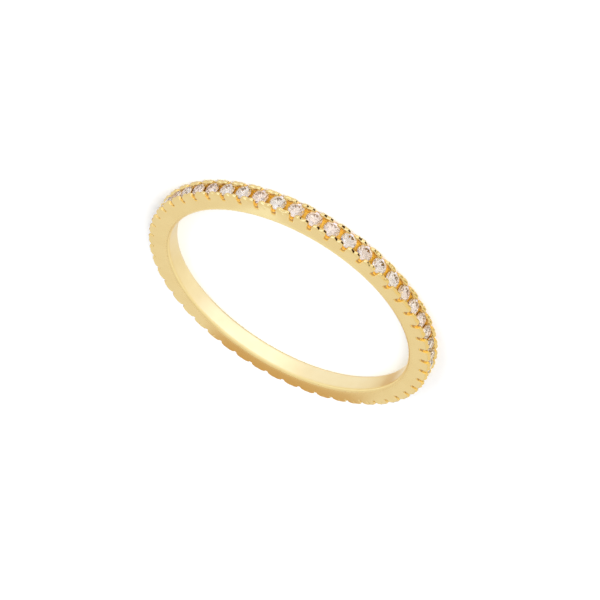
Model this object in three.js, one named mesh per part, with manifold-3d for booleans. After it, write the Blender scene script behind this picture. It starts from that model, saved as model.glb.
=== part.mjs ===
// A stackable eternity band: one cast gold ring, paved all the way round with small round
// stones. Every stone has a seat in the outer face. Low walls stand on both sides of the
// seats. A round-bottomed notch opens the walls beside each stone, so that they are left as
// short crenels, and a shallow split in the top of each crenel makes it two prongs.
//
// Millimetres. The ring lies on one flat side at z = 0, and +Z is the axis of the finger.

import * as THREE from 'three';
import { mergeVertices } from 'three/addons/utils/BufferGeometryUtils.js';
import Module from 'manifold-3d';

// ---------------------------------------------------------------- driving dimensions

const FINGER_DIAMETER = 17.3; // US size 7
const BAND_THICKNESS = 1.55; // from the finger to the tops of the prongs
const BAND_WIDTH = 1.3; // along the finger
const INNER_EDGE_RADIUS = 0.18; // rounding towards the finger
const OUTER_EDGE_CHAMFER = 0.12; // along the tops of the prongs

const STONE_COUNT = 50;
const STONE_DIAMETER = 1.05;
const STONE_PAVILION = 0.51; // from the girdle of a stone down to its point
const SEAT_CLEARANCE = 0.02; // round a stone, in its seat
const GIRDLE_DEPTH = 0.27; // girdle of a stone below the tops of the prongs

const WALL_THICKNESS = 0.32; // each of the two walls beside the stones
const POCKET_DEPTH = 0.48; // floor between two stones, below the tops of the prongs
const NOTCH_WIDTH = 0.38;
const NOTCH_DEPTH = 0.48;
const PRONG_SPLIT_WIDTH = 0.2;
const PRONG_SPLIT_DEPTH = 0.12;

// ---------------------------------------------------------------- fineness of the facets

const SEAT_FACETS = 8;
const NOTCH_ARC_STEPS = 2;
const CORNER_ARC_STEPS = 1;
const MERGE_DISTANCE = 1e-4;
const OVERCUT = 0.5; // how far a cutter reaches past the metal

// ---------------------------------------------------------------- worked-out dimensions

const FINGER_RADIUS = FINGER_DIAMETER / 2;
const PRONG_TOP_RADIUS = FINGER_RADIUS + BAND_THICKNESS;
const CUTTER_TOP_RADIUS = PRONG_TOP_RADIUS + OVERCUT;
const STONE_PITCH = (2 * Math.PI) / STONE_COUNT;
const MID_HEIGHT = BAND_WIDTH / 2;

const wasm = await Module();
wasm.setup();

// ---------------------------------------------------------------- solids

// A closed three.js geometry as a solid that can be joined and cut.
function toSolid(geometry) {
  geometry.deleteAttribute('normal');
  geometry.deleteAttribute('uv');
  const merged = mergeVertices(geometry, MERGE_DISTANCE);
  const corners = merged.index.array;
  const kept = [];
  for (let first = 0; first < corners.length; first += 3) {
    const [a, b, c] = corners.slice(first, first + 3);
    const isFlat = a === b || b === c || c === a;
    if (!isFlat) kept.push(a, b, c);
  }
  const mesh = new wasm.Mesh({
    numProp: 3,
    vertProperties: merged.attributes.position.array,
    triVerts: new Uint32Array(kept),
  });
  return new wasm.Manifold(mesh);
}

// A solid back as a geometry, with flat facets.
function toGeometry(solid) {
  const mesh = solid.getMesh();
  const geometry = new THREE.BufferGeometry();
  geometry.setAttribute('position', new THREE.BufferAttribute(mesh.vertProperties, mesh.numProp));
  geometry.setIndex(new THREE.BufferAttribute(mesh.triVerts, 1));
  geometry.computeVertexNormals();
  return geometry;
}

// The section given as (radius, height) points, turned once round the axis of the finger, with
// one facet for each stone. The facets meet in the middle of the crenels.
function ringSolid(section) {
  const geometry = new THREE.LatheGeometry(section, STONE_COUNT, STONE_PITCH / 2);
  geometry.rotateX(Math.PI / 2);
  return toSolid(geometry);
}

// The same cutter repeated round the ring, from firstAngle on.
function repeatRoundRing(makeCutter, firstAngle) {
  let cutters = null;
  for (let index = 0; index < STONE_COUNT; index += 1) {
    const geometry = makeCutter();
    geometry.rotateZ(firstAngle + index * STONE_PITCH);
    const cutter = toSolid(geometry);
    cutters = cutters === null ? cutter : cutters.add(cutter);
  }
  return cutters;
}

// An outline in the plane of the ring, drawn at the +X side, pushed through the whole width.
function throughCut(outline, arcSteps) {
  const geometry = new THREE.ExtrudeGeometry(outline, {
    depth: BAND_WIDTH + 2 * OVERCUT,
    bevelEnabled: false,
    curveSegments: arcSteps,
  });
  geometry.translate(0, 0, -OVERCUT);
  return geometry;
}

// ---------------------------------------------------------------- the band and its cuts

// Section of the plain ring: a rectangle, rounded towards the finger and chamfered outside.
function bandSection() {
  const radius = INNER_EDGE_RADIUS;
  const arcCentre = FINGER_RADIUS + radius;
  const chamferStart = PRONG_TOP_RADIUS - OUTER_EDGE_CHAMFER;
  const quarter = Math.PI / 2;
  const outline = new THREE.Path();
  outline.absarc(arcCentre, radius, radius, 2 * quarter, 3 * quarter, false);
  outline.lineTo(chamferStart, 0);
  outline.lineTo(PRONG_TOP_RADIUS, OUTER_EDGE_CHAMFER);
  outline.lineTo(PRONG_TOP_RADIUS, BAND_WIDTH - OUTER_EDGE_CHAMFER);
  outline.lineTo(chamferStart, BAND_WIDTH);
  outline.absarc(arcCentre, BAND_WIDTH - radius, radius, quarter, 2 * quarter, false);
  outline.closePath();
  return outline.getPoints(CORNER_ARC_STEPS);
}

// Section of the channel that leaves the two walls standing.
function channelSection() {
  const floorRadius = PRONG_TOP_RADIUS - POCKET_DEPTH;
  const halfWidth = MID_HEIGHT - WALL_THICKNESS;
  return [
    new THREE.Vector2(floorRadius, MID_HEIGHT - halfWidth),
    new THREE.Vector2(CUTTER_TOP_RADIUS, MID_HEIGHT - halfWidth),
    new THREE.Vector2(CUTTER_TOP_RADIUS, MID_HEIGHT + halfWidth),
    new THREE.Vector2(floorRadius, MID_HEIGHT + halfWidth),
    new THREE.Vector2(floorRadius, MID_HEIGHT - halfWidth),
  ];
}

// Seat of one stone, opening outwards: a straight bore above the girdle, a cone below it.
function seatCutter() {
  const radius = STONE_DIAMETER / 2 + SEAT_CLEARANCE;
  const profile = [
    new THREE.Vector2(0, -STONE_PAVILION),
    new THREE.Vector2(radius, 0),
    new THREE.Vector2(radius, GIRDLE_DEPTH + OVERCUT),
    new THREE.Vector2(0, GIRDLE_DEPTH + OVERCUT),
  ];
  const geometry = new THREE.LatheGeometry(profile, SEAT_FACETS);
  geometry.rotateZ(-Math.PI / 2);
  geometry.translate(PRONG_TOP_RADIUS - GIRDLE_DEPTH, 0, MID_HEIGHT);
  return geometry;
}

// Round-bottomed notch in both walls beside a stone.
function notchCutter() {
  const radius = NOTCH_WIDTH / 2;
  const arcCentre = PRONG_TOP_RADIUS - NOTCH_DEPTH + radius;
  const outline = new THREE.Shape();
  outline.moveTo(CUTTER_TOP_RADIUS, -radius);
  outline.lineTo(CUTTER_TOP_RADIUS, radius);
  outline.absarc(arcCentre, 0, radius, Math.PI / 2, (3 * Math.PI) / 2, false);
  outline.closePath();
  return throughCut(outline, NOTCH_ARC_STEPS);
}

// V-shaped split in the tops of the two crenels between two stones.
function prongSplitCutter() {
  const slope = PRONG_SPLIT_WIDTH / 2 / PRONG_SPLIT_DEPTH;
  const halfWidth = (PRONG_SPLIT_DEPTH + OVERCUT) * slope;
  const outline = new THREE.Shape();
  outline.moveTo(PRONG_TOP_RADIUS - PRONG_SPLIT_DEPTH, 0);
  outline.lineTo(CUTTER_TOP_RADIUS, -halfWidth);
  outline.lineTo(CUTTER_TOP_RADIUS, halfWidth);
  outline.closePath();
  return throughCut(outline, 1);
}

function makeBand() {
  const gold = new THREE.MeshStandardMaterial({ color: 0xe8c877, roughness: 0.25, metalness: 1 });
  const metal = ringSolid(bandSection())
    .subtract(ringSolid(channelSection()))
    .subtract(repeatRoundRing(seatCutter, 0))
    .subtract(repeatRoundRing(notchCutter, 0))
    .subtract(repeatRoundRing(prongSplitCutter, STONE_PITCH / 2));
  const band = new THREE.Mesh(toGeometry(metal), gold);
  band.name = 'band';
  return band;
}

// ---------------------------------------------------------------- the part

const ring = new THREE.Group();
ring.add(makeBand());

export default ring;
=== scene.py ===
"""Looks of the stackable ring: a gold band, paved all the way round with small round stones.

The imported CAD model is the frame. Sizes below are in millimetres, and everything is placed on the
box of the CAD part's band. The outline is that of the CAD part. The prongs are rounder and the
notches a little shallower here, and the scoops in the side faces are in this model only.
"""

import math

import bpy
import numpy as np
from mathutils import Matrix, Vector


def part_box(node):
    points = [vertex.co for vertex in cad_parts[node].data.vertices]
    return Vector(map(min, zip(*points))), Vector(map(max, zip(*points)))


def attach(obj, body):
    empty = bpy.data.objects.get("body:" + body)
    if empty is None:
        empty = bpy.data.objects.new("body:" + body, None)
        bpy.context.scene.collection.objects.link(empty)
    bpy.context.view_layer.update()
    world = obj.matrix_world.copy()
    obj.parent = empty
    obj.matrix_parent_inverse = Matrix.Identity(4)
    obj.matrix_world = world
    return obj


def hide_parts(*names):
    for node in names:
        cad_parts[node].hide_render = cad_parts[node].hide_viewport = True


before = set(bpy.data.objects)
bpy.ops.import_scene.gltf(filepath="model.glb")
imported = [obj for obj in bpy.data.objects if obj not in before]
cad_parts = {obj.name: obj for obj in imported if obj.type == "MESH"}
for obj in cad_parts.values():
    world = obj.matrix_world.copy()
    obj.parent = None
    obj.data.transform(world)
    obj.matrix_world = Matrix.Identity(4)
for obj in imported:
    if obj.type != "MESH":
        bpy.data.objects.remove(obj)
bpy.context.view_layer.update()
band_low, band_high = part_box("band")

MM = 0.001
CENTRE = (band_low + band_high) / 2

# ---------------------------------------------------------------- sizes of the part, mm

STONE_COUNT = 50
FINGER_RADIUS = 8.65
PRONG_TOP = 10.2  # radius of the tops of the prongs, here and below from the ring's axis
HALF_WIDTH = 0.65
INNER_EDGE = 0.18  # rounding towards the finger

STONE_RADIUS = 0.525
GIRDLE = 9.93  # radius at which the girdles of the stones lie
CROWN = 0.17  # height of a stone above its girdle
PAVILION = 0.51  # and below it
SEAT_DEPTH = 0.56  # the cone under it
STONE_FOLD = 11  # how many times the pattern of facets repeats round a stone
SEAT_RADIUS = 0.545
LAP_RADIUS = 0.425  # the prongs lap over a stone, in to this distance from its middle

FLOOR = 9.72  # radius of the floor of the pockets
CHANNEL = 0.345  # half the width between the two walls
CREST = 0.475  # from mid-height to the tops of the prongs
FILLET = 0.08  # rounding where the floor of the pockets meets the walls

NOTCH = 0.18  # half the width of a notch where it meets the prongs
NOTCH_BOTTOM = 9.79
NOTCH_FLANK = 0.19  # half the width of a notch, NOTCH_RISE above its bottom
NOTCH_RISE = 0.4
NOTCH_POWER = 3.2  # above 2, which makes the notch more like a U than an arc

SCOOP = 0.035  # depth of the scoop in the side face below a notch
SCOOP_END = 9.55  # radius down to which a scoop reaches where it is cut the furthest
SCOOP_TOP = 0.12  # how far a scoop goes on above the bottom of the notch
SCOOP_HALF_WIDTHS = (0.06, 0.17)  # of the shallowest and of the deepest scoops
SCOOP_MEAN = 0.55  # how far down they are cut on average, as a share of the furthest
SCOOP_LEAN = (0.22, 0.68)  # and how much that share falls towards +X and towards +Y
SCOOP_LEAST = 0.02  # scoops with a smaller share are left out
SCOOP_EDGE = 4  # steepness of their rims

PRONG = 0.395  # from the middle of a stone to the middle of a prong, along the ring
OUTWARD_DROP = 0.17  # of the tops of the walls towards the side faces
INWARD_DROP = 0.12  # and towards the stones
BEAD_DROP = 0.085  # height of the bead that each prong ends in
BEAD_POWER = 1.1  # 1 is a cone
SPLIT_START = 0.01  # the split of two prongs starts this far in from the side face
SPLIT_FADE = 0.07  # and has its full depth this much further in
SPLIT_DENT = 0.012  # depth of the dent that continues a split in the side face
SPLIT_DENT_RADIUS = 9.9  # where the dent is deepest
SPLIT_DENT_SPREAD = (0.05, 0.06)  # along the ring and along the radius

FLAT_REFERENCE = 10.0  # radius at which lengths along the ring are true
HALF_CELL = math.pi * FLAT_REFERENCE / STONE_COUNT
TINY = 0.001  # keeps a division from one by zero


# ---------------------------------------------------------------- shape of the paved surface


def quarter(x):
    """Drop of a quarter circle of radius 1, at x from its top."""
    return 1 - np.sqrt(np.clip(1 - np.clip(x, 0, 1) ** 2, 0, 1))


def bead(x):
    """Drop of a bead of height 1 at x from its top, its foot at 1: nearly a cone."""
    return np.clip(x, 0, 1) ** BEAD_POWER


def notch_radius(b):
    """Radius of the bottom of the rounded notch beside a stone, b along the ring from it."""
    return NOTCH_BOTTOM + NOTCH_RISE * (b / NOTCH_FLANK) ** NOTCH_POWER


def prong_tops(b, a):
    """Radius of the tops of the walls, b along the ring from a stone, a from mid-height."""
    outward = OUTWARD_DROP * quarter((a - CREST) / (HALF_WIDTH - CREST))
    inward = INWARD_DROP * quarter((CREST - a) / (CREST - CHANNEL))
    to_notch = BEAD_DROP * bead((PRONG - b) / (PRONG - NOTCH))
    on_top = np.clip((HALF_WIDTH - SPLIT_START - a) / SPLIT_FADE, 0, 1)
    to_split = BEAD_DROP * on_top * bead((b - PRONG) / (HALF_CELL - PRONG))
    return PRONG_TOP - outward - inward - to_notch - to_split


def surface_radius(t, w):
    """Radius of the metal at t along the ring from the middle of a stone, w from mid-height."""
    b, a = np.abs(t), np.abs(w)
    walls = np.minimum(prong_tops(b, a), notch_radius(b))
    floor = FLOOR + FILLET * quarter((a - CHANNEL + FILLET) / FILLET)
    metal = np.where(a < CHANNEL, floor, walls)
    rho = np.hypot(t, w)
    seat = GIRDLE - SEAT_DEPTH * (1 - rho / SEAT_RADIUS)
    metal = np.where(rho < LAP_RADIUS, np.minimum(metal, seat), metal)
    return np.minimum(metal, notch_radius(b))


def softened_radius(t, w, blur=0.011):
    """The same, averaged over a small square, which rounds its sharp edges."""
    steps = (-1.0, -0.5, 0.0, 0.5, 1.0)
    total = 0
    for dt in steps:
        for dw in steps:
            inner_w = np.clip(w + dw * blur, -HALF_WIDTH, HALF_WIDTH)
            wrapped = (t + dt * blur + HALF_CELL) % (2 * HALF_CELL) - HALF_CELL
            total = total + surface_radius(wrapped, inner_w)
    return total / len(steps) ** 2


def mirrored(half):
    """Values on both sides of 0 from those on one side, which start with 0."""
    half = np.array(half)
    return np.concatenate([-half[:0:-1], half])


ALONG = mirrored(
    [0, 0.06, 0.105, 0.14, 0.162, 0.182, 0.21, 0.245, 0.285]
    + [0.33, 0.375, 0.42, 0.465, 0.51, 0.55, 0.585, 0.61, HALF_CELL]
)[:-1]
ACROSS = mirrored(
    [0, 0.1, 0.19, 0.26, 0.31, 0.332, 0.342, 0.352, 0.38]
    + [0.412, 0.445, 0.475, 0.51, 0.555, 0.6, 0.634, HALF_WIDTH]
)


def ring_points(along, radius, across):
    """Points in mm, from lengths along the ring, radii, and heights from mid-height."""
    angle = along / FLAT_REFERENCE
    return np.stack([radius * np.cos(angle), radius * np.sin(angle), across + 0 * angle], -1)


def all_round(one_cell):
    """Lengths along the ring of every cell's columns."""
    starts = np.arange(STONE_COUNT) * 2 * HALF_CELL
    return (starts[:, None] + one_cell[None, :]).ravel()


SIDE_FOOT = 9.5  # the fine rows of the side faces end at this radius
SIDE_SHARES = (1, 0.72, 0.45, 0.22, 0.07)  # where they lie, from the edge to the foot


def off_stone(along):
    """Length along the ring from the nearest stone's middle, negative before it."""
    return (along + HALF_CELL) % (2 * HALF_CELL) - HALF_CELL


def scoop_depth(along):
    """How far down the scoops are cut: 1 on the -X and -Y sides of the ring, 0 on the +Y side."""
    angle = along / FLAT_REFERENCE
    towards_x, towards_y = SCOOP_LEAN
    share = SCOOP_MEAN - towards_y * np.sin(angle) - towards_x * np.cos(angle)
    return np.clip(share, 0, 1)


def scoop_share(along, radius):
    """1 in the scoop that continues a notch in the side face, 0 outside it, soft at its rim."""
    depth = scoop_depth(along)
    end = NOTCH_BOTTOM - (NOTCH_BOTTOM - SCOOP_END) * depth
    below = np.maximum((NOTCH_BOTTOM - radius) / (NOTCH_BOTTOM - end + TINY), 0)
    narrow, wide = SCOOP_HALF_WIDTHS
    aside = off_stone(along) / (narrow + (wide - narrow) * depth)
    inside = 1 - aside**4 - below**3
    in_reach = (radius < NOTCH_BOTTOM + SCOOP_TOP) * (depth > SCOOP_LEAST)
    return np.clip(inside * SCOOP_EDGE, 0, 1) * in_reach


def side_dents(along, radius):
    """Depth of the dents in a side face: below a notch, and below the split of two prongs."""
    off_split = (along % (2 * HALF_CELL)) - HALF_CELL
    spread_along, spread_out = SPLIT_DENT_SPREAD
    away = (off_split / spread_along) ** 2 + ((radius - SPLIT_DENT_RADIUS) / spread_out) ** 2
    return SPLIT_DENT * np.exp(-away) + SCOOP * scoop_share(along, radius)


def fine_rows():
    """Rows of (along, radius, across) from one side face, over the crown, to the other."""
    along = all_round(ALONG)
    rows = []
    edge = softened_radius(ALONG, np.full_like(ALONG, HALF_WIDTH))
    edge = np.tile(edge, STONE_COUNT)
    for share in SIDE_SHARES:
        radius = edge + (SIDE_FOOT - edge) * share
        rows.append((along, radius, side_dents(along, radius) - HALF_WIDTH))
    for w in ACROSS:
        radius = np.tile(softened_radius(ALONG, np.full_like(ALONG, w)), STONE_COUNT)
        rows.append((along, radius, np.full_like(along, w)))
    for share in reversed(SIDE_SHARES):
        radius = edge + (SIDE_FOOT - edge) * share
        rows.append((along, radius, HALF_WIDTH - side_dents(along, radius)))
    return rows


FACE_RADII = (9.42, 9.12, 8.87)  # coarse rows on the side faces
WALL_HEIGHTS = (0.44, 0.24, 0.0)  # and on the finger's wall, from mid-height
EDGE_STEPS = 5  # along the rounding between the two


def coarse_rows():
    """Rows from the top side face, round the finger hole, to the bottom side face."""
    rows = []
    section = [(radius, HALF_WIDTH) for radius in FACE_RADII]
    for step in range(EDGE_STEPS + 1):
        turn = step / EDGE_STEPS * math.pi / 2
        out = FINGER_RADIUS + INNER_EDGE * (1 - math.sin(turn))
        section.append((out, HALF_WIDTH - INNER_EDGE * (1 - math.cos(turn))))
    for w in WALL_HEIGHTS:
        section.append((FINGER_RADIUS, w))
    section += [(r, -w) for r, w in reversed(section[:-1])]
    joined = all_round(ALONG[::2])
    even = all_round(np.linspace(-HALF_CELL, HALF_CELL, len(ALONG) // 2 + 1)[:-1])
    for radius, w in section:
        along = joined if radius == section[0][0] else even
        rows.append((along, np.full_like(along, radius), np.full_like(along, w)))
    return rows


FINE_ROW = STONE_COUNT * len(ALONG)  # points in a fine row
CROWN_START = len(SIDE_SHARES) * FINE_ROW
CROWN_END = CROWN_START + len(ACROSS) * FINE_ROW


def row_faces(start, rows, count):
    """Squares between neighbouring closed rows of count points, the first one's from start on."""
    here = np.arange(count)
    after = (here + 1) % count
    faces = []
    for row in range(rows - 1):
        a = start + row * count
        b = a + count
        faces += np.stack([a + here, a + after, b + after, b + here], 1).tolist()
    return faces


def band_mesh():
    """Vertices in mm and faces of the band, closed all round.

    The two edges where fine rows meet coarse ones, with half as many points, are filled with
    three triangles for each point of the coarse row.
    """
    fine = [ring_points(*row) for row in fine_rows()]
    coarse = [ring_points(*row) for row in coarse_rows()]
    n_fine, n_coarse = len(fine[0]), len(coarse[0])
    start_coarse = len(fine) * n_fine
    faces = row_faces(0, len(fine), n_fine)
    faces += row_faces(start_coarse, len(coarse), n_coarse)
    here = np.arange(n_coarse)
    after = (here + 1) % n_coarse
    first, middle = 2 * here, 2 * here + 1
    last = (2 * here + 2) % n_fine
    top = (len(fine) - 1) * n_fine
    c = start_coarse
    faces += np.stack([top + first, top + middle, c + here], 1).tolist()
    faces += np.stack([top + middle, c + after, c + here], 1).tolist()
    faces += np.stack([top + middle, top + last, c + after], 1).tolist()
    c = start_coarse + (len(coarse) - 1) * n_coarse
    faces += np.stack([first, c + here, middle], 1).tolist()
    faces += np.stack([middle, c + here, c + after], 1).tolist()
    faces += np.stack([middle, c + after, last], 1).tolist()
    points = np.concatenate(fine + coarse)
    return points, faces


def make_object(name, points_mm, faces, smooth):
    """A mesh object from points in mm round the middle of the ring."""
    mesh = bpy.data.meshes.new(name)
    points = np.asarray(points_mm) * MM + np.array(CENTRE)
    mesh.from_pydata(points.tolist(), [], faces)
    mesh.validate()
    mesh.polygons.foreach_set("use_smooth", [smooth] * len(mesh.polygons))
    mesh.update()
    obj = bpy.data.objects.new(name, mesh)
    bpy.context.scene.collection.objects.link(obj)
    return obj


def add_attribute(obj, name, values):
    """One number for each vertex, for the materials."""
    attribute = obj.data.attributes.new(name, "FLOAT", "POINT")
    attribute.data.foreach_set("value", np.asarray(values, np.float32))


FINISH = ((8.66, 0.3), (8.9, 0.27), (9.12, 0.14), (9.9, 0.11), (10.0, 0.06))  # roughness by radius
POCKET_FINISH = 0.3
POCKET_START = 10.0  # below this radius the metal between the stones counts as a pocket
POCKET_FADE = 0.1
POCKET_RIM = 0.03  # no pocket this close to a side face
NOTCH_MARGIN = 0.02  # a notch counts from this far below the prongs
NOTCH_SHADE = (0.2, 0.9)  # painted shade of the notches over the shallowest and the deepest scoops, so more on the -X and -Y sides
POCKET_SHADE = 1.0  # painted shade of the pockets; from here to the scoops' level the colour goes on to the scoops' darker painted shade
SCOOP_RECESS = 1.5
ROUGH_RECESS = 0.15  # metal recessed more than this has the pockets' finish


def recess_shade_of(points):
    """Painted shade: 0 on the polished faces, full in pockets, more in scoops, less in notches."""
    radius = np.hypot(points[:, 0], points[:, 1])
    along = np.arctan2(points[:, 1], points[:, 0]) * FLAT_REFERENCE
    off = np.abs(off_stone(along))
    height = np.abs(points[:, 2])
    index = np.arange(len(points))
    on_crown = (index >= CROWN_START) & (index < CROWN_END)
    pocket = np.clip((POCKET_START - radius) / POCKET_FADE, 0, POCKET_SHADE)
    pocket = pocket * (height < HALF_WIDTH - POCKET_RIM)
    notch = notch_radius(off) < prong_tops(off, height) - NOTCH_MARGIN
    notch &= height > CHANNEL
    scoop = scoop_share(along, radius) * (height > HALF_WIDTH - 2 * SCOOP)
    low, high = NOTCH_SHADE
    # the notches' painted shade grows with the depth of the scoops below them
    recess_shade = np.where(notch, low + (high - low) * scoop_depth(along), pocket)
    return np.where(on_crown, recess_shade, SCOOP_RECESS * scoop)


def make_band():
    """The cast band as one closed mesh, with its recesses' painted shade and its finish at every
    point.
    """
    points, faces = band_mesh()
    band = make_object("paved_band", points, faces, True)
    recess_shade = recess_shade_of(points)
    add_attribute(band, "recess_shade", recess_shade)
    polish = np.interp(np.hypot(points[:, 0], points[:, 1]), *zip(*FINISH))
    add_attribute(band, "finish", np.where(recess_shade > ROUGH_RECESS, POCKET_FINISH, polish))
    return band


# ---------------------------------------------------------------- the stones


TABLE = 0.57 * STONE_RADIUS  # radii of the circles on which the facets of a stone meet
STAR = 0.8 * STONE_RADIUS
LOW = 0.26 * STONE_RADIUS
GIRDLE_HALF = 0.008  # half the height of the girdle
STONE_SEED = 7
STONE_TIP = 1.2  # spread of the tipping of the stones, in degrees


def brilliant():
    """Points and faces of a round brilliant, its girdle at height 0, its table upwards."""
    half = math.pi / STONE_FOLD
    points, faces = [], []

    def circle(radius, height, count, offset):
        first = len(points)
        for k in range(count):
            angle = offset + 2 * math.pi * k / count
            points.append((radius * math.cos(angle), radius * math.sin(angle), height))
        return [first + k for k in range(count)]

    star_height = CROWN * (1 - (STAR * math.cos(half) - TABLE) / (STONE_RADIUS - TABLE))
    low_height = -PAVILION * (1 - LOW * math.cos(half) / STONE_RADIUS)
    tops = circle(TABLE, CROWN, STONE_FOLD, 0)
    stars = circle(STAR, star_height, STONE_FOLD, half)
    upper = circle(STONE_RADIUS, GIRDLE_HALF, 2 * STONE_FOLD, 0)
    lower = circle(STONE_RADIUS, -GIRDLE_HALF, 2 * STONE_FOLD, 0)
    lows = circle(LOW, low_height, STONE_FOLD, half)
    culet = len(points)
    points.append((0, 0, -PAVILION))
    faces.append(tops)
    for k in range(STONE_FOLD):
        after, before = (k + 1) % STONE_FOLD, (k - 1) % STONE_FOLD
        edge, middle, far = 2 * k, 2 * k + 1, (2 * k + 2) % (2 * STONE_FOLD)
        faces.append([tops[k], stars[k], tops[after]])
        faces.append([tops[k], stars[before], upper[edge], stars[k]])
        faces.append([stars[k], upper[edge], upper[middle]])
        faces.append([stars[k], upper[middle], upper[far]])
        faces.append([upper[edge], lower[edge], lower[middle], upper[middle]])
        faces.append([upper[middle], lower[middle], lower[far], upper[far]])
        faces.append([lows[k], lower[middle], lower[edge]])
        faces.append([lows[k], lower[far], lower[middle]])
        faces.append([culet, lows[k], lower[edge], lows[before]])
    return np.array(points), faces


def make_stones():
    """All the stones as one joined mesh, each turned and tipped a little in its own way.

    Their edges are sunk into the walls, under the prongs that lap over them: the walls have no
    undercut there.
    """
    random = np.random.default_rng(STONE_SEED)
    points, faces = brilliant()
    all_points, all_faces, tints = [], [], []
    for k in range(STONE_COUNT):
        turn = Matrix.Rotation(random.uniform(0, math.pi / 4), 3, "Z")
        tip = Matrix.Rotation(math.radians(random.normal(0, STONE_TIP)), 3, "X")
        tip = tip @ Matrix.Rotation(math.radians(random.normal(0, STONE_TIP)), 3, "Y")
        outwards = Matrix.Rotation(math.pi / 2, 3, "Y")
        angle = 2 * math.pi * k / STONE_COUNT
        place = Matrix.Rotation(angle, 3, "Z")
        rotation = np.array(place @ outwards @ tip @ turn)
        seat = GIRDLE * np.array([math.cos(angle), math.sin(angle), 0])
        first = k * len(points)
        all_points.append(points @ rotation.T + seat)
        all_faces += [[first + i for i in face] for face in faces]
        tints.append(np.full(len(points), random.uniform(0, 1)))
    stones = make_object("stones", np.concatenate(all_points), all_faces, False)
    add_attribute(stones, "tint", np.concatenate(tints))
    below = [all(points[i][2] < 0 for i in face) for face in faces] * STONE_COUNT
    foil = stones.data.attributes.new("foil", "FLOAT", "FACE")
    foil.data.foreach_set("value", np.asarray(below, np.float32))
    return stones


# ---------------------------------------------------------------- materials


def new_material(name):
    material = bpy.data.materials.new(name)
    material.use_nodes = True
    tree = material.node_tree
    return material, tree.nodes, tree.links, tree.nodes["Principled BSDF"]


def noise(nodes, links, scale, detail=2.0):
    """A noise texture on the object's own coordinates. scale is features for each metre."""
    where = nodes.new("ShaderNodeTexCoord")
    texture = nodes.new("ShaderNodeTexNoise")
    texture.inputs["Scale"].default_value = scale
    texture.inputs["Detail"].default_value = detail
    links.new(where.outputs["Object"], texture.inputs["Vector"])
    return texture.outputs["Fac"]


def to_range(nodes, links, value, low, high, source=(0, 1)):
    remap = nodes.new("ShaderNodeMapRange")
    remap.inputs["From Min"].default_value = source[0]
    remap.inputs["From Max"].default_value = source[1]
    remap.inputs["To Min"].default_value = low
    remap.inputs["To Max"].default_value = high
    links.new(value, remap.inputs["Value"])
    return remap.outputs["Result"]


def mix_colors(nodes, links, factor, first, second):
    mix = nodes.new("ShaderNodeMix")
    mix.data_type = "RGBA"
    for socket, value in ((mix.inputs[6], first), (mix.inputs[7], second)):
        if isinstance(value, tuple):
            socket.default_value = (*value, 1)
        else:
            links.new(value, socket)
    links.new(factor, mix.inputs[0])
    return mix.outputs[2]


def attribute(nodes, name):
    node = nodes.new("ShaderNodeAttribute")
    node.attribute_name = name
    return node.outputs["Fac"]


GOLD_LIGHT = (0.885, 0.68, 0.305)
GOLD_WARM = (0.865, 0.655, 0.285)
# painted shade: the deeper amber of the pockets and notches, and the darker amber of the scoops
GOLD_RECESS_SHADE = (0.78, 0.45, 0.05)
GOLD_SCOOP_SHADE = (0.38, 0.185, 0.03)
POCKET_METALLIC = 0.28  # the rough metal of the pockets spreads light, as a matt surface does

STONE_PINK = (1.0, 0.925, 0.865)
STONE_CLEAR = (1.0, 0.975, 0.945)


def gold_material():
    """Polished gold plate: slightly uneven in tone, finely brushed, with painted shade in its
    recesses.
    """
    material, nodes, links, shader = new_material("gold")
    tone = to_range(nodes, links, noise(nodes, links, 900, 3), 0, 1, (0.35, 0.65))
    color = mix_colors(nodes, links, tone, GOLD_WARM, GOLD_LIGHT)
    recess_shade = attribute(nodes, "recess_shade")
    # painted shade: deeper amber in the pockets and notches, darker amber still in the scoops
    color = mix_colors(nodes, links, recess_shade, color, GOLD_RECESS_SHADE)
    scoop_shade = to_range(nodes, links, recess_shade, 0, 1, (POCKET_SHADE, SCOOP_RECESS))
    color = mix_colors(nodes, links, scoop_shade, color, GOLD_SCOOP_SHADE)
    links.new(color, shader.inputs["Base Color"])
    links.new(to_range(nodes, links, recess_shade, 1, POCKET_METALLIC), shader.inputs["Metallic"])
    wear = to_range(nodes, links, noise(nodes, links, 2500, 3), 0.92, 1.08, (0.3, 0.7))
    finish = attribute(nodes, "finish")
    rough = nodes.new("ShaderNodeMath")
    rough.operation = "MULTIPLY"
    links.new(wear, rough.inputs[0])
    links.new(finish, rough.inputs[1])
    links.new(rough.outputs[0], shader.inputs["Roughness"])
    bump = nodes.new("ShaderNodeBump")
    bump.inputs["Strength"].default_value = 0.012
    bump.inputs["Distance"].default_value = 0.00002
    links.new(noise(nodes, links, 9000, 3), bump.inputs["Height"])
    links.new(bump.outputs["Normal"], shader.inputs["Normal"])
    return material


def stone_material():
    """Clear stones, each very slightly pink in its own degree.

    Their undersides are mirrored, in place of the light that a real stone turns back by itself.
    """
    material, nodes, links, shader = new_material("stone")
    links.new(attribute(nodes, "foil"), shader.inputs["Metallic"])
    shader.inputs["Transmission Weight"].default_value = 1
    shader.inputs["IOR"].default_value = 2.15
    shader.inputs["Roughness"].default_value = 0.0
    color = mix_colors(nodes, links, attribute(nodes, "tint"), STONE_PINK, STONE_CLEAR)
    links.new(color, shader.inputs["Base Color"])
    return material


def floor_material():
    material, nodes, links, shader = new_material("studio_floor")
    tone = to_range(nodes, links, noise(nodes, links, 3, 2), 0, 1, (0.3, 0.7))
    color = mix_colors(nodes, links, tone, (0.89, 0.89, 0.89), (0.9, 0.9, 0.9))
    links.new(color, shader.inputs["Base Color"])
    shader.inputs["Roughness"].default_value = 0.9
    shader.inputs["Specular IOR Level"].default_value = 0.0
    return material


# ---------------------------------------------------------------- the studio


FLOOR_GAP = 0.01 * MM


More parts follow.
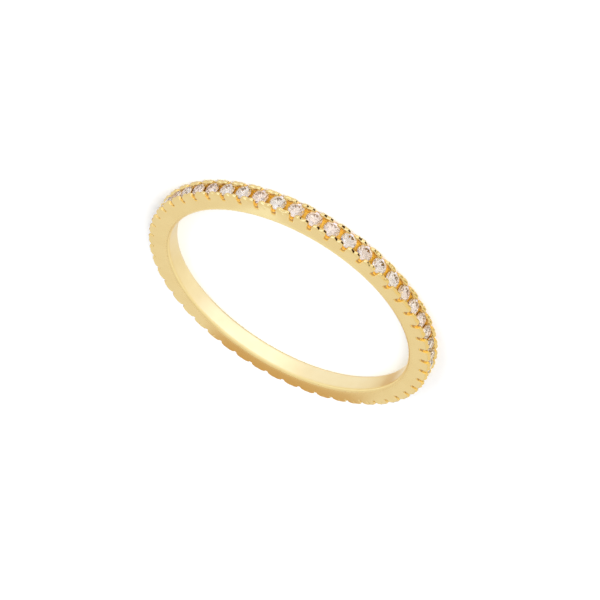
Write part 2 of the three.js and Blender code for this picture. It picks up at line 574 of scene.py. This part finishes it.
def make_floor():
    """A pale floor just under the ring, hidden from reflections and from rays in the stones."""
    half = 1.5
    mesh = bpy.data.meshes.new("studio_floor")
    corners = [(-half, -half, 0), (half, -half, 0), (half, half, 0), (-half, half, 0)]
    mesh.from_pydata(corners, [], [(0, 1, 2, 3)])
    floor = bpy.data.objects.new("studio_floor", mesh)
    floor.location = (CENTRE.x, CENTRE.y, band_low.z - FLOOR_GAP)
    bpy.context.scene.collection.objects.link(floor)
    mesh.materials.append(floor_material())
    floor.visible_glossy = False
    floor.visible_transmission = False
    floor.visible_shadow = False


def direction(azimuth, elevation):
    """Towards azimuth, 0 on the -Y side and 90 on +X, and elevation, both in degrees."""
    a, e = math.radians(azimuth), math.radians(elevation)
    return Vector((math.sin(a) * math.cos(e), -math.cos(a) * math.cos(e), math.sin(e)))


def area_light(name, azimuth, elevation, distance, size, power):
    """A round lamp aimed at the ring, seen neither by the camera nor in reflections."""
    light = bpy.data.lights.new(name, "AREA")
    light.shape = "DISK"
    light.size = size
    light.energy = power
    obj = bpy.data.objects.new(name, light)
    towards = direction(azimuth, elevation)
    obj.location = CENTRE + towards * distance
    obj.rotation_euler = towards.to_track_quat("Z", "Y").to_euler()
    obj.visible_camera = False
    obj.visible_glossy = False
    bpy.context.scene.collection.objects.link(obj)


def card_material(name, level):
    """A card that shines evenly at this level and fades out towards its edges."""
    material = bpy.data.materials.new(name)
    material.use_nodes = True
    nodes, links = material.node_tree.nodes, material.node_tree.links
    nodes.clear()
    glow = nodes.new("ShaderNodeEmission")
    glow.inputs["Color"].default_value = (*level, 1)
    clear = nodes.new("ShaderNodeBsdfTransparent")
    blend = nodes.new("ShaderNodeMixShader")
    output = nodes.new("ShaderNodeOutputMaterial")
    links.new(attribute(nodes, "fade"), blend.inputs[0])
    links.new(clear.outputs[0], blend.inputs[1])
    links.new(glow.outputs[0], blend.inputs[2])
    links.new(blend.outputs[0], output.inputs["Surface"])
    return material


def make_card(name, azimuths, elevations, level, soft, distance=0.6):
    """A curved card round the ring, seen only in reflections: part of a studio's surroundings.

    azimuths and elevations are its limits in degrees, level its brightness in red, green and
    blue against a white of 1, and soft the widths in degrees of its faded side edges and of its
    faded lower and upper edges.
    """
    columns, rows = 41, 25
    points, fades, faces = [], [], []
    for row in range(rows):
        for column in range(columns):
            azimuth = azimuths[0] + (azimuths[1] - azimuths[0]) * column / (columns - 1)
            elevation = elevations[0] + (elevations[1] - elevations[0]) * row / (rows - 1)
            points.append(CENTRE + direction(azimuth, elevation) * distance)
            sideways = min(azimuth - azimuths[0], azimuths[1] - azimuth) / soft[0]
            upwards = min(elevation - elevations[0], elevations[1] - elevation) / soft[1]
            share = min(1.0, max(0.0, min(sideways, upwards)))
            fades.append(share * share * (3 - 2 * share))
            if row and column:
                corner = row * columns + column
                faces.append((corner, corner - 1, corner - columns - 1, corner - columns))
    mesh = bpy.data.meshes.new(name)
    mesh.from_pydata(points, [], faces)
    mesh.materials.append(card_material(name, level))
    card = bpy.data.objects.new(name, mesh)
    bpy.context.scene.collection.objects.link(card)
    add_attribute(card, "fade", fades)
    card.visible_camera = False
    card.visible_diffuse = False
    card.visible_shadow = False
    card.visible_transmission = False
    return card


def make_dome():
    """White all round, behind the other cards; the metal and the stones both see it."""
    dome = make_card("dome", (-200, 200), (-90, 90), (0.93, 0.93, 0.93), (0.001, 0.001), 0.9)
    dome.visible_transmission = True


# name, azimuths, elevations, level, soft, distance. Those that reach below the floor's level still
# show in the metal, since the floor is hidden from reflections.
FAR_CARDS = (
    ("front_low", (-70, 42), (-60, -6), (1.55, 1.5, 1.5), (18, 18), 0.6),
    ("under_right", (132, 162), (-55, -5), (0.66, 0.47, 0.3), (9, 9), 0.6),
    ("front_left", (8, 70), (-8, 50), (1.25, 1.45, 1.9), (10, 10), 0.6),
    ("dark_side", (-70, -9), (-66, 14), (0.055, 0.022, 0.01), (3, 4), 0.55),
)
INNER_CARDS = (  # below the finger hole, for the finger's wall
    ("inner_front", (-115, 72), (-89, -4.5), (1.4, 1.6, 2.45), (28, 3), 0.0100),
    ("inner_left", (-165, -95), (-89, -25), (1.07, 1.16, 1.45), (16, 6), 0.0101),
    ("inner_right", (58, 190), (-89, -25), (1.05, 1.18, 1.7), (16, 6), 0.0102),
)
CLOSE_CARDS = (  # close to the ring, so that each lights one stretch of it
    ("back_low", (174.5, 202), (-5, 26), (0.675, 0.48, 0.27), (5, 5), 0.034),
    ("fill_low", (105, 225), (6, 58), (1.1, 1.2, 1.35), (6, 1), 0.006),
    ("fill_high", (105, 225), (6, 60), (1.1, 1.2, 1.35), (6, 3), 0.008),
    ("right_high", (-105, -19), (-2.6, 15), (0.96, 0.88, 0.66), (4, 1), 0.0115),
    ("right_low", (-105, -19), (-24, -4.6), (0.96, 0.88, 0.66), (4, 1), 0.0115),
)


def make_cards():
    """The large cards that the metal shows."""
    for card in FAR_CARDS + INNER_CARDS + CLOSE_CARDS:
        make_card(*card)


SPARKLE_SEED = 11
SPARKLE_COUNT = 90
SPARKLE_LEVELS = [0.2, 0.4, 0.62, 1.75]
SPARKLE_SPREAD = 55  # of their azimuths round the -Y side, in degrees
SPARKLE_ELEVATIONS = (-30, 80)
SPARKLE_HALF_WIDTHS = (2, 5)
SPARKLE_DISTANCE = 0.5


def make_sparkle():
    """Small cards seen only through the stones, which break up what their facets show."""
    random = np.random.default_rng(SPARKLE_SEED)
    for k in range(SPARKLE_COUNT):
        azimuth = random.normal(0, SPARKLE_SPREAD)
        elevation = random.uniform(*SPARKLE_ELEVATIONS)
        wide = random.uniform(*SPARKLE_HALF_WIDTHS)
        level = random.choice(SPARKLE_LEVELS)
        spread = wide / max(0.3, math.cos(math.radians(elevation)))
        card = make_card(
            f"sparkle_{k}",
            (azimuth - spread, azimuth + spread),
            (elevation - wide, elevation + wide),
            (level, level * 0.95, level * 0.93),
            (1, 1),
            SPARKLE_DISTANCE,
        )
        card.visible_glossy = False
        card.visible_transmission = True


def make_world():
    """White light from all round; the metal and the stones see the dome in its place."""
    world = bpy.data.worlds.new("studio")
    world.use_nodes = True
    background = world.node_tree.nodes["Background"]
    background.inputs["Color"].default_value = (1, 1, 1, 1)
    background.inputs["Strength"].default_value = 0.66
    bpy.context.scene.world = world


CAMERA_AZIMUTH = 3.5
CAMERA_ELEVATION = 28.34
CAMERA_ROLL = 212.0
CAMERA_DISTANCE = 183.6 * MM
CAMERA_LENS = 171.9
CAMERA_AIM = (-0.621 * MM, -0.043 * MM)  # aside from the middle of the ring, and up


def make_camera():
    """The photo's angle to the ring, with the picture turned by CAMERA_ROLL."""
    camera = bpy.data.cameras.new("camera")
    camera.lens = CAMERA_LENS
    camera.sensor_width = 36
    camera.clip_start = 0.01
    camera.clip_end = 10
    obj = bpy.data.objects.new("camera", camera)
    back = direction(CAMERA_AZIMUTH, CAMERA_ELEVATION)
    right = Vector((0, 0, 1)).cross(back).normalized()
    up = back.cross(right)
    roll = math.radians(CAMERA_ROLL)
    across = right * math.cos(roll) + up * math.sin(roll)
    upright = up * math.cos(roll) - right * math.sin(roll)
    place = CENTRE + right * CAMERA_AIM[0] + up * CAMERA_AIM[1] + back * CAMERA_DISTANCE
    matrix = Matrix((across, upright, back)).transposed().to_4x4()
    matrix.translation = place
    obj.matrix_world = matrix
    bpy.context.scene.collection.objects.link(obj)
    bpy.context.scene.camera = obj


def finish_piece(piece, material):
    """The piece's one material, and its place in the part."""
    piece.data.materials.append(material)
    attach(piece, "root")


make_camera()
make_world()
make_floor()
area_light("key", -14, 34, 2.0, 1.5, 41)
area_light("fill", 60, 32, 2.0, 1.5, 15)
make_dome()
make_cards()
make_sparkle()

band = make_band()
finish_piece(band, gold_material())
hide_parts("band")
stones = make_stones()
finish_piece(stones, stone_material())

cycles = bpy.context.scene.cycles
cycles.max_bounces = 24
cycles.glossy_bounces = 16
cycles.transmission_bounces = 16
bpy.context.scene.view_settings.view_transform = "Standard"
